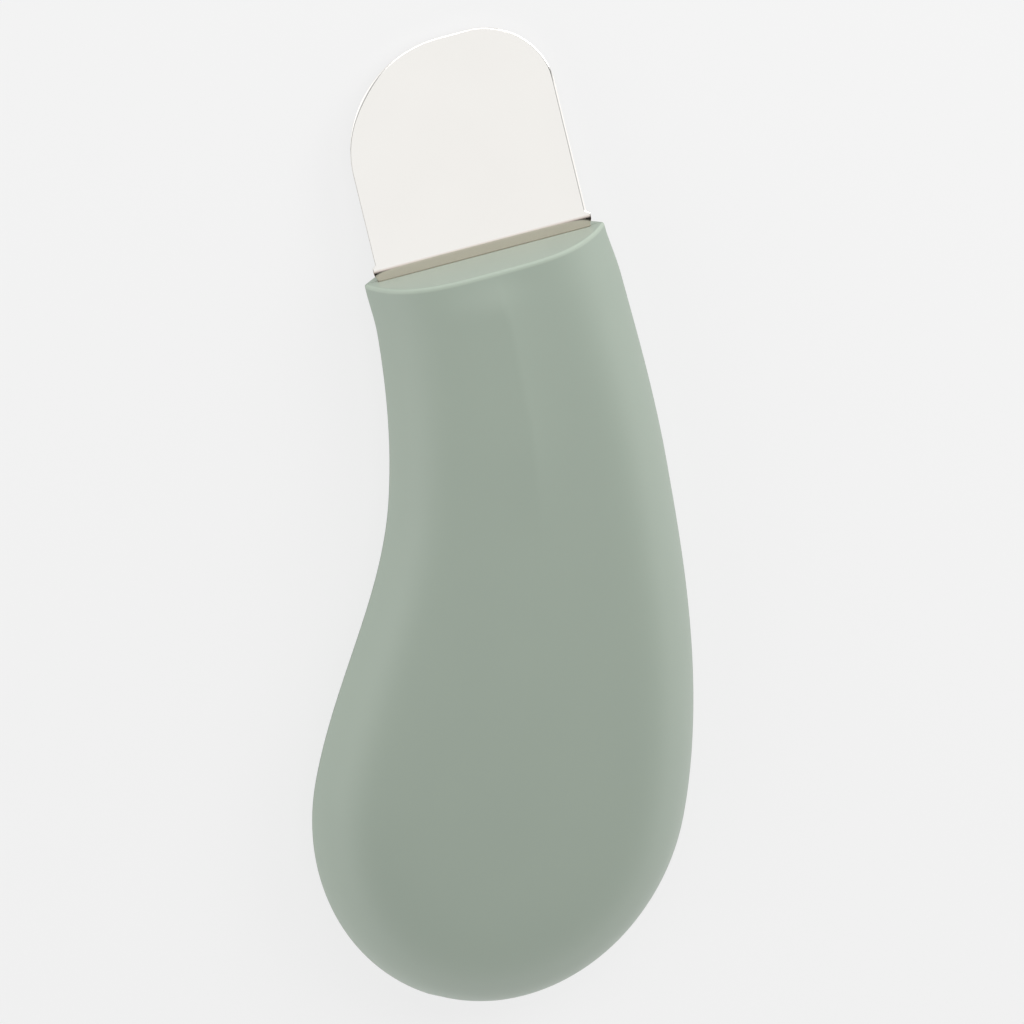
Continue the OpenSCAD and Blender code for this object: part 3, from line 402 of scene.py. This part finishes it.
def shellBody(name, side):
    # one closed skin: outer grid, end wall, rim with its parting groove, inner grid
    count, lift, groove = shellMesh["columns"], handle["partingLine"], handle["grooveDepth"]
    columns = [-math.cos(math.pi * j / count) for j in range(count + 1)]
    body = bmesh.new()

    def corner(s, across, inset, low, flat=False):
        x, y, z = skinPoint(s, across, side, inset)
        return body.verts.new(placed((x, y, low * side if flat else side * max(side * z, low))))

    def face(*corners):
        body.faces.new(corners)

    outerRows, ledgeRows = rowList(0, 0), rowList(groove, groove)
    innerRows = rowList(handle["wall"], handle["endWall"])
    outer = [[corner(s, v, d, lift) for v in columns] for s, d in outerRows]
    inner = [[corner(s, v, d, 0) for v in columns] for s, d in innerRows]
    ledge = [[corner(s, v, d, 0, True) for v in (-1, 1)] for s, d in ledgeRows]
    fronts = [[corner(rows[0][0], v, rows[0][1], low, True) for v in columns]
        for rows, low in ((outerRows, lift), (ledgeRows, 0), (innerRows, 0))]
    fronts = [outer[0]] + fronts + [inner[0]]
    for first, second in zip(fronts, fronts[1:]):
        for j in range(count):
            face(first[j], first[j + 1], second[j + 1], second[j])
    for i in range(len(outer) - 1):
        for j in range(count):
            face(outer[i][j], outer[i][j + 1], outer[i + 1][j + 1], outer[i + 1][j])
            face(inner[i][j], inner[i + 1][j], inner[i + 1][j + 1], inner[i][j + 1])
        for e, j in ((0, 0), (1, count)):
            face(outer[i][j], outer[i + 1][j], ledge[i + 1][e], ledge[i][e])
            face(ledge[i][e], ledge[i + 1][e], inner[i + 1][j], inner[i][j])
    bmesh.ops.remove_doubles(body, verts=body.verts, dist=shellMesh["merge"] * mm)
    bmesh.ops.dissolve_degenerate(body, dist=shellMesh["flatten"] * mm, edges=body.edges)
    bmesh.ops.recalc_face_normals(body, faces=body.faces)
    print(name, "has", sum(len(e.link_faces) != 2 for e in body.edges), "open edges")
    return newPiece(name, body)


def turned(point, s):
    # a point given to the right of, ahead of and above the middle line at distance s
    a = turnAt(s)
    mx, my = middleAt(s)
    return (mx + point[0] * math.cos(a) - point[1] * math.sin(a),
        my + point[0] * math.sin(a) + point[1] * math.cos(a), point[2])


def lathe(profile, s, segments=96):
    # a solid of revolution about the vertical at distance s; the profile is radius and height
    body = bmesh.new()
    turns = [2 * math.pi * k / segments for k in range(segments)]
    rings = []
    for r, z in profile:
        places = [(r * math.cos(a), r * math.sin(a), z) for a in turns] if r else [(0, 0, z)]
        rings.append([body.verts.new(placed(turned(p, s))) for p in places])
    for a, b in zip(rings, rings[1:]):
        for k in range(segments):
            n = (k + 1) % segments
            if len(a) == 1:
                body.faces.new((a[0], b[n], b[k]))
            elif len(b) == 1:
                body.faces.new((a[k], a[n], b[0]))
            else:
                body.faces.new((a[k], a[n], b[n], b[k]))
    bmesh.ops.recalc_face_normals(body, faces=body.faces)
    return body


def prism(points, low, high):
    # a flat outline in the end face's frame, drawn up from low to high
    body = bmesh.new()
    foot = [body.verts.new(placed((x, y, low))) for x, y in points]
    head = [body.verts.new(placed((x, y, high))) for x, y in points]
    body.faces.new(foot[::-1])
    body.faces.new(head)
    for k in range(len(points)):
        n = (k + 1) % len(points)
        body.faces.new((foot[k], foot[n], head[n], head[k]))
    bmesh.ops.recalc_face_normals(body, faces=body.faces)
    return body


port = {"width": 9.94, "height": 4.16, "depth": 4.0, "outside": 4.0, "low": 1.0}


def portBar(segments=24):
    # the charge socket's mouth: a bar of stadium section that runs inwards from the butt
    r = port["height"] / 2
    endMiddle = port["width"] / 2 - r
    ring = []
    for side in (1, -1):
        for k in range(segments + 1):
            a = math.pi * (k / segments - 0.5)
            ring.append((side * (endMiddle + r * math.cos(a)), side * r * math.sin(a) - port["low"]))
    body = bmesh.new()
    ends = [[body.verts.new(placed(turned((x, y, z), handle["length"]))) for x, z in ring]
        for y in (-port["outside"], port["depth"])]
    body.faces.new(ends[0])
    body.faces.new(ends[1][::-1])
    for k in range(len(ring)):
        n = (k + 1) % len(ring)
        body.faces.new((ends[0][k], ends[1][k], ends[1][n], ends[0][n]))
    bmesh.ops.recalc_face_normals(body, faces=body.faces)
    return body


def applied(piece, kind, settings):
    # gives the piece a modifier and keeps its result as the piece's mesh
    step = piece.modifiers.new(kind, kind)
    for name, value in settings.items():
        setattr(step, name, value)
    bpy.context.view_layer.update()
    graph = bpy.context.evaluated_depsgraph_get()
    shaped = bpy.data.meshes.new_from_object(piece.evaluated_get(graph))
    piece.modifiers.clear()
    old = piece.data
    piece.data = shaped
    bpy.data.meshes.remove(old)


def cut(piece, bodies):
    for body in bodies:
        tool = newPiece("tool", body)
        applied(piece, "BOOLEAN", {"operation": "DIFFERENCE", "solver": "EXACT", "object": tool})
        spare = tool.data
        bpy.data.objects.remove(tool)
        bpy.data.meshes.remove(spare)


def smoothed(piece, limit=32.0):
    # soft shading, with hard edges where faces meet at more than the limit, in degrees
    # wide faces keep their own normal
    body = bmesh.new()
    body.from_mesh(piece.data)
    for f in body.faces:
        f.smooth = True
    for e in body.edges:
        e.smooth = len(e.link_faces) == 2 and e.calc_face_angle(0) < math.radians(limit)
    body.to_mesh(piece.data)
    body.free()
    applied(piece, "WEIGHTED_NORMAL", {"mode": "FACE_AREA", "weight": 50, "keep_sharp": True})


def dressed(piece, finish, bodyName, slot, *replaced):
    piece.data.materials.clear()
    piece.data.materials.append(finish.material)
    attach(piece, bodyName)
    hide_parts(*replaced)


blade = {
    "thickness": 0.8, "half": 15.1, "length": 29.5, "lean": 10.0, "bendRadius": 3.0,
    "leftCorner": 16.0, "rightCorner": 10.2, "rootHalf": 15.15, "rootOut": 1.2, "rootIn": 1.4,
    "ear": 0.4, "earLength": 0.6, "bevelWidth": 1.2, "bevelDepth": 0.4, "edgeRound": 0.06,
    "flatRows": (0.3, 0.2),
    "facet": 0.28, "facetSlope": 33.0,         # the ground facet along the right side, mm and degrees
    "cornerFacet": 0.2, "cornerSlope": 16.0, "leftFacet": 0.3, "leastFacet": 0.06,
    "leftGrows": (0.15, 0.45), "leftFades": (0.45, 0.75),      # shares of the corners' turn
    "rightFlattens": (0.0, 0.15), "rightFades": (0.6, 0.95),
    "tangHalf": 13.0, "tangLength": 25.5, "tailHalf": 10.0, "tailLength": 6.0, "widenLength": 0.3,
    "clampX": 9.5, "clampY": 7.5, "neckRadius": 2.1,
}
slotCut = {"half": 15.55, "height": 0.8, "depth": 1.8, "throat": 13.4, "throatDepth": 5.0,
    "lip": 0.13, "lipGap": 0.1, "lipDepth": 1.0, "outside": 2.0}
button = {"at": 46.0, "radius": 5.8, "gap": 0.3, "flange": 6.8, "flangeThick": 0.6,
    "back": 0.3, "edge": 0.45, "dish": 0.3}
windows = {"first": 57.0, "step": 4.0, "count": 3, "radius": 0.95}
cutter = {"low": -12.0, "high": -1.0, "foot": -30.0, "behind": -130.0, "ahead": 10.0}    # reach of the cuts
flatLevel = -seam


def bladeSlot():
    # wide where the seal sits, deeper for the tang, and close round the blade at the mouth
    def slot(half, near, far, high):
        return prism([(-half, near), (half, near), (half, far), (-half, far)], -high, high)

    close, lip = slotCut["lipGap"], slotCut["lip"]
    return [slot(slotCut["half"], -slotCut["depth"], -lip, slotCut["height"]),
        slot(slotCut["throat"], -slotCut["throatDepth"], -lip, slotCut["height"]),
        slot(blade["rootHalf"] + close, -slotCut["lipDepth"], slotCut["outside"],
            blade["thickness"] / 2 + close)]


def restFlat():
    reach, behind, ahead = handle["bellyHalf"] * 3, cutter["behind"], cutter["ahead"]
    return prism([(-reach, behind), (reach, behind), (reach, ahead), (-reach, ahead)],
        cutter["foot"], flatLevel)


def buttonHole():
    # straight through the wall, with a mouth that widens at 45 degrees
    r, mouth = button["radius"] + button["gap"], flatLevel + button["back"]
    low, high = cutter["low"], cutter["high"]
    return lathe([(0, low), (r - low + mouth, low), (r, mouth), (r, high), (0, high)], button["at"])


def windowHoles():
    r, low, high = windows["radius"], cutter["low"], cutter["high"]
    return [lathe([(0, low), (r, low), (r, high), (0, high)], windows["first"] + k * windows["step"], 48)
        for k in range(windows["count"])]


frontShell = shellBody("plain_shell_skin", 1)
cut(frontShell, bladeSlot() + [portBar()])
smoothed(frontShell)
dressed(frontShell, sage, "handle", "sage_plastic", "front_shell")
print("plain shell:", len(frontShell.data.polygons), "faces")

rearShell = shellBody("button_shell_skin", -1)
cut(rearShell, bladeSlot() + [portBar(), restFlat(), buttonHole()] + windowHoles())
smoothed(rearShell)
dressed(rearShell, sage, "handle", "sage_plastic", "rear_shell")
print("button shell:", len(rearShell.data.polygons), "faces")


bendMid = blade["bendRadius"] + blade["thickness"] / 2
leanRadians = math.radians(blade["lean"])


def between(a, b, t):
    return a + (b - a) * t


def rise(t, reach):
    # soft rise from 0 to 1 between the two ends of the reach
    return ease((t - reach[0]) / (reach[1] - reach[0]))


def leaned(point, z, angle):
    # a point of the flat sheet, carried round the bend by the angle
    r = bendMid + z
    return (point[0], blade["rootOut"] + r * math.sin(angle) + point[1] * math.cos(angle),
        r * math.cos(angle) - bendMid - point[1] * math.sin(angle))


def bladeSkin(name, earSteps=8, bendSteps=14, cornerSteps=40):
    # rings from the tail of the tang to the tip; each is a pair of edges with rounded or bevelled sides
    t, e = blade["thickness"] / 2, blade["edgeRound"]
    low = blade["bevelDepth"] - t
    # a profile gives distances in from the side, with heights
    inner, outer = blade["flatRows"]
    straight = [(inner, t), (outer, t), (2 * e, t), (e, t), (0.3 * e, t - 0.3 * e), (0, t - e),
        (0, e - t), (0.3 * e, 0.3 * e - t), (e, -t)]

    def ground(width, slope):
        # the flat, a facet with small roundings at both its ends, the side and the bevel under it
        drop = math.tan(math.radians(slope))
        foot, bevel = t - width * drop, blade["bevelWidth"]
        return [(width + e, t), (width + 0.3 * e, t - 0.15 * e * drop), (width - 0.4 * e, t - 0.5 * e * drop),
            (0.5 * e, foot + 0.5 * e * drop), (0.15 * e, foot - 0.1 * e), (0, foot - 0.5 * e),
            (0, low), (0.5 * bevel, (low - t) / 2), (bevel, -t)]

    least = ground(blade["leastFacet"], blade["facetSlope"])
    rightSide = ground(blade["facet"], blade["facetSlope"])
    body = bmesh.new()

    def ring(left, right, profiles, angle):
        # left and right are an edge point and its inward direction
        points = [leaned((edge[0][0] + d * edge[1][0], edge[0][1] + d * edge[1][1]), z, angle)
            for edge, profile in ((left, profiles[0]), (right, profiles[1][::-1])) for d, z in profile]
        return [body.verts.new(placed(p)) for p in points]

    def level(half, y, profiles=(straight, straight), angle=0.0):
        return ring(((-half, y), (1, 0)), ((half, y), (-1, 0)), profiles, angle)

    # tang and root
    out, rootHalf, wide = blade["rootOut"], blade["rootHalf"], blade["rootHalf"] + blade["ear"]
    rings = [level(half, y - out) for half, y in (
        (blade["tailHalf"], -blade["tangLength"]),
        (blade["tangHalf"], blade["tailLength"] - blade["tangLength"]),
        (blade["tangHalf"], -blade["rootIn"]),
        (rootHalf, blade["widenLength"] - blade["rootIn"]),
        (rootHalf, 0))]
    # the ears swell out of the root in a soft curve, go round the bend and run back into the blade
    for k in range(1, earSteps + 1):
        rings.append(level(between(rootHalf, wide, ease(k / earSteps)), out * k / earSteps - out))
    for k in range(1, bendSteps + 1):
        rings.append(level(wide, 0, angle=leanRadians * k / bendSteps))
    for k in range(1, earSteps + 1):
        share = k / earSteps
        profiles = [[tuple(between(a, b, share) for a, b in zip(first, second))
            for first, second in zip(straight, side)] for side in (least, rightSide)]
        rings.append(level(between(wide, blade["half"], ease(share)), blade["earLength"] * share,
            profiles, leanRadians))
    # both corners; the left facet grows and fades, the right one flattens and then fades
    left, right, length, half = blade["leftCorner"], blade["rightCorner"], blade["length"], blade["half"]
    for k in range(cornerSteps + 1):
        share = k / cornerSteps
        cosine, sine = math.cos(math.pi / 2 * share), math.sin(math.pi / 2 * share)
        grown = rise(share, blade["leftGrows"]) * (1 - rise(share, blade["leftFades"]))
        flattened = rise(share, blade["rightFlattens"])
        width = between(blade["facet"], blade["cornerFacet"], flattened)
        profiles = (
            ground(between(blade["leastFacet"], blade["leftFacet"], grown), blade["facetSlope"]),
            ground(between(width, blade["leastFacet"], rise(share, blade["rightFades"])),
                between(blade["facetSlope"], blade["cornerSlope"], flattened)))
        rings.append(ring(
            ((left - half - left * cosine, length - left + left * sine), (cosine, -sine)),
            ((half - right + right * cosine, length - right + right * sine), (-cosine, -sine)),
            profiles, leanRadians))
    count = len(rings[0])
    for a, b in zip(rings, rings[1:]):
        for k in range(count):
            n = (k + 1) % count
            body.faces.new((a[k], a[n], b[n], b[k]))
    for end in (rings[0], rings[-1]):
        for k in range(count // 2 - 1):
            body.faces.new((end[k], end[k + 1], end[count - 2 - k], end[count - 1 - k]))
    bmesh.ops.recalc_face_normals(body, faces=body.faces)
    return newPiece(name, body)


def neckHole(x, reach=2):
    # hole in the tang for a grommet's neck; the tang is straight, so the hole is moved off the middle line
    r, s = blade["neckRadius"], blade["clampY"]
    body = lathe([(0, -reach), (r, -reach), (r, reach), (0, reach)], s, 48)
    bmesh.ops.translate(body, verts=body.verts, vec=placed((x, -s, 0)) - placed(turned((0, 0, 0), s)))
    return body


bladePiece = bladeSkin("blade_skin")
cut(bladePiece, [neckHole(-blade["clampX"]), neckHole(blade["clampX"])])
smoothed(bladePiece, 38)
dressed(bladePiece, bladeSteel, "handle", "polished_steel", "blade")
print("blade:", len(bladePiece.data.polygons), "faces")


def buttonProfile(dishSteps=12, edgeSteps=6):
    # from the middle of the dished face over the rounded edge to the flange that keeps it in
    face = flatLevel + button["back"]
    r, e, dish = button["radius"], button["edge"], button["dish"]
    inner = r - e
    shares = [k / dishSteps for k in range(dishSteps + 1)]
    points = [(inner * share, face + dish * (1 - share ** 2) ** 2) for share in shares]
    points += [(inner + e * math.sin(a), face + e * (1 - math.cos(a)))
        for a in (math.pi / 2 * k / edgeSteps for k in range(1, edgeSteps + 1))]
    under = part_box("button_cap")[1].z / mm - seam
    flangeLow = under - button["flangeThick"]
    points += [(r, flangeLow), (button["flange"], flangeLow), (button["flange"], under), (0, under)]
    return points


buttonPiece = newPiece("button_face", lathe(buttonProfile(), button["at"]))
smoothed(buttonPiece, 40)
dressed(buttonPiece, buttonPlastic, "button", "button_plastic", "button_cap")
print("button made")


studio = {"floorSize": 3.0, "floorDrop": 0.0001, "floorGlow": 0.755, "floorTint": 0.15, "floorRough": 0.9,
    # the tent's light, with the heights between which each part comes or goes (1 is straight up)
    "overhead": 0.968, "overheadComes": (0.93, 0.98),
    "horizon": 1.60, "horizonGoes": (0.05, 0.55),
    "middle": 0.68, "middleComes": (0.2, 0.4), "middleGoes": (0.6, 0.8),
    "box": 0.316, "boxSide": 180.0, "boxHeight": 25.0, "boxEdge": (0.6, 0.95),
    "sidePower": 0.679, "sideSize": 0.3, "sideAt": (0.3, 0.2, 0.3),
    "headPower": 0.252, "headSize": 0.2, "headAt": (0.03, 0.2, 0.3),
    "aim": (0.0, 0.0, 0.01)}


def makeFloor():
    body = bmesh.new()
    bmesh.ops.create_grid(body, x_segments=1, y_segments=1, size=studio["floorSize"])
    floor = newPiece("studio_floor", body)
    floor.location.z = -studio["floorDrop"]
    finish = Finish("paleFloor", {"Roughness": studio["floorRough"], "Specular IOR Level": 0.0,
        "Base Color": (studio["floorTint"],) * 3 + (1,), "Emission Color": (1, 1, 1, 1),
        "Emission Strength": studio["floorGlow"]})
    floor.data.materials.append(finish.material)


def areaLight(name, power, size, position):
    lamp = bpy.data.lights.new(name, "AREA")
    lamp.shape = "DISK"
    lamp.energy = power
    lamp.size = size
    lit = bpy.data.objects.new(name, lamp)
    scene.collection.objects.link(lit)
    lit.location = position
    lit.rotation_euler = (Vector(studio["aim"]) - Vector(position)).to_track_quat("-Z", "Y").to_euler()


class Sky(Finish):
    # the white tent round the table: a bright top and foot, softer between, and a soft box on one side
    def __init__(self, name):
        world = bpy.data.worlds.new(name)
        scene.world = world
        world.use_nodes = True
        self.tree = world.node_tree
        self.shader = self.tree.nodes["Background"]
        self.shader.inputs["Color"].default_value = (1, 1, 1, 1)

    def along(self, direction):
        way = self.node("TexCoord", {}, {}, "Generated")
        return self.node("VectorMath", {"operation": "DOT_PRODUCT"}, {0: way, 1: direction}, "Value")


def makeSky():
    sky = Sky("studioSky")
    up = sky.along((0, 0, 1))
    overhead = studio["overhead"] * sky.stepped(up, *studio["overheadComes"])
    horizon = studio["horizon"] * (1 - sky.stepped(up, *studio["horizonGoes"]))
    middle = (studio["middle"] * sky.stepped(up, *studio["middleComes"])
        * (1 - sky.stepped(up, *studio["middleGoes"])))
    side, height = math.radians(studio["boxSide"]), math.radians(studio["boxHeight"])
    toBox = (math.cos(side) * math.cos(height), math.sin(side) * math.cos(height), math.sin(height))
    box = studio["box"] * sky.stepped(sky.along(toBox), *studio["boxEdge"])
    sky.vary("Strength", overhead + horizon + middle + box)


makeFloor()
makeSky()
areaLight("side_light", studio["sidePower"], studio["sideSize"], studio["sideAt"])
areaLight("head_light", studio["headPower"], studio["headSize"], studio["headAt"])
scene.view_settings.view_transform = "Standard"
scene.view_settings.look = "None"
print("stage, sky and lights made")


view = {"pitch": 23.7839, "swing": -5.0162, "roll": 14.812, "lens": 1200.0, "sensor": 36.0,
    "distance": 4.724623, "target": (0.0073647, 0.0006110, 0.0073), "clip": (0.1, 20.0)}


def makeCamera():
    # a very long lens, turned about its own axis as the photo is
    pitch, swing, roll = (math.radians(view[k]) for k in ("pitch", "swing", "roll"))
    back = Vector((math.sin(swing) * math.cos(pitch), math.sin(pitch),
        math.cos(pitch) * math.cos(swing))).normalized()
    right = (Vector((1, 0, 0)) - back.x * back).normalized()
    up = back.cross(right)
    turnedRight = math.cos(roll) * right - math.sin(roll) * up
    turnedUp = math.sin(roll) * right + math.cos(roll) * up
    camera = bpy.data.cameras.new("camera")
    camera.lens = view["lens"]
    camera.sensor_width = view["sensor"]
    camera.clip_start, camera.clip_end = view["clip"]
    rig = bpy.data.objects.new("camera", camera)
    scene.collection.objects.link(rig)
    turn = Matrix((turnedRight, turnedUp, back)).transposed()
    place = Vector(view["target"]) + back * view["distance"]
    rig.matrix_world = Matrix.Translation(place) @ turn.to_4x4()
    scene.camera = rig


makeCamera()
print("camera placed")
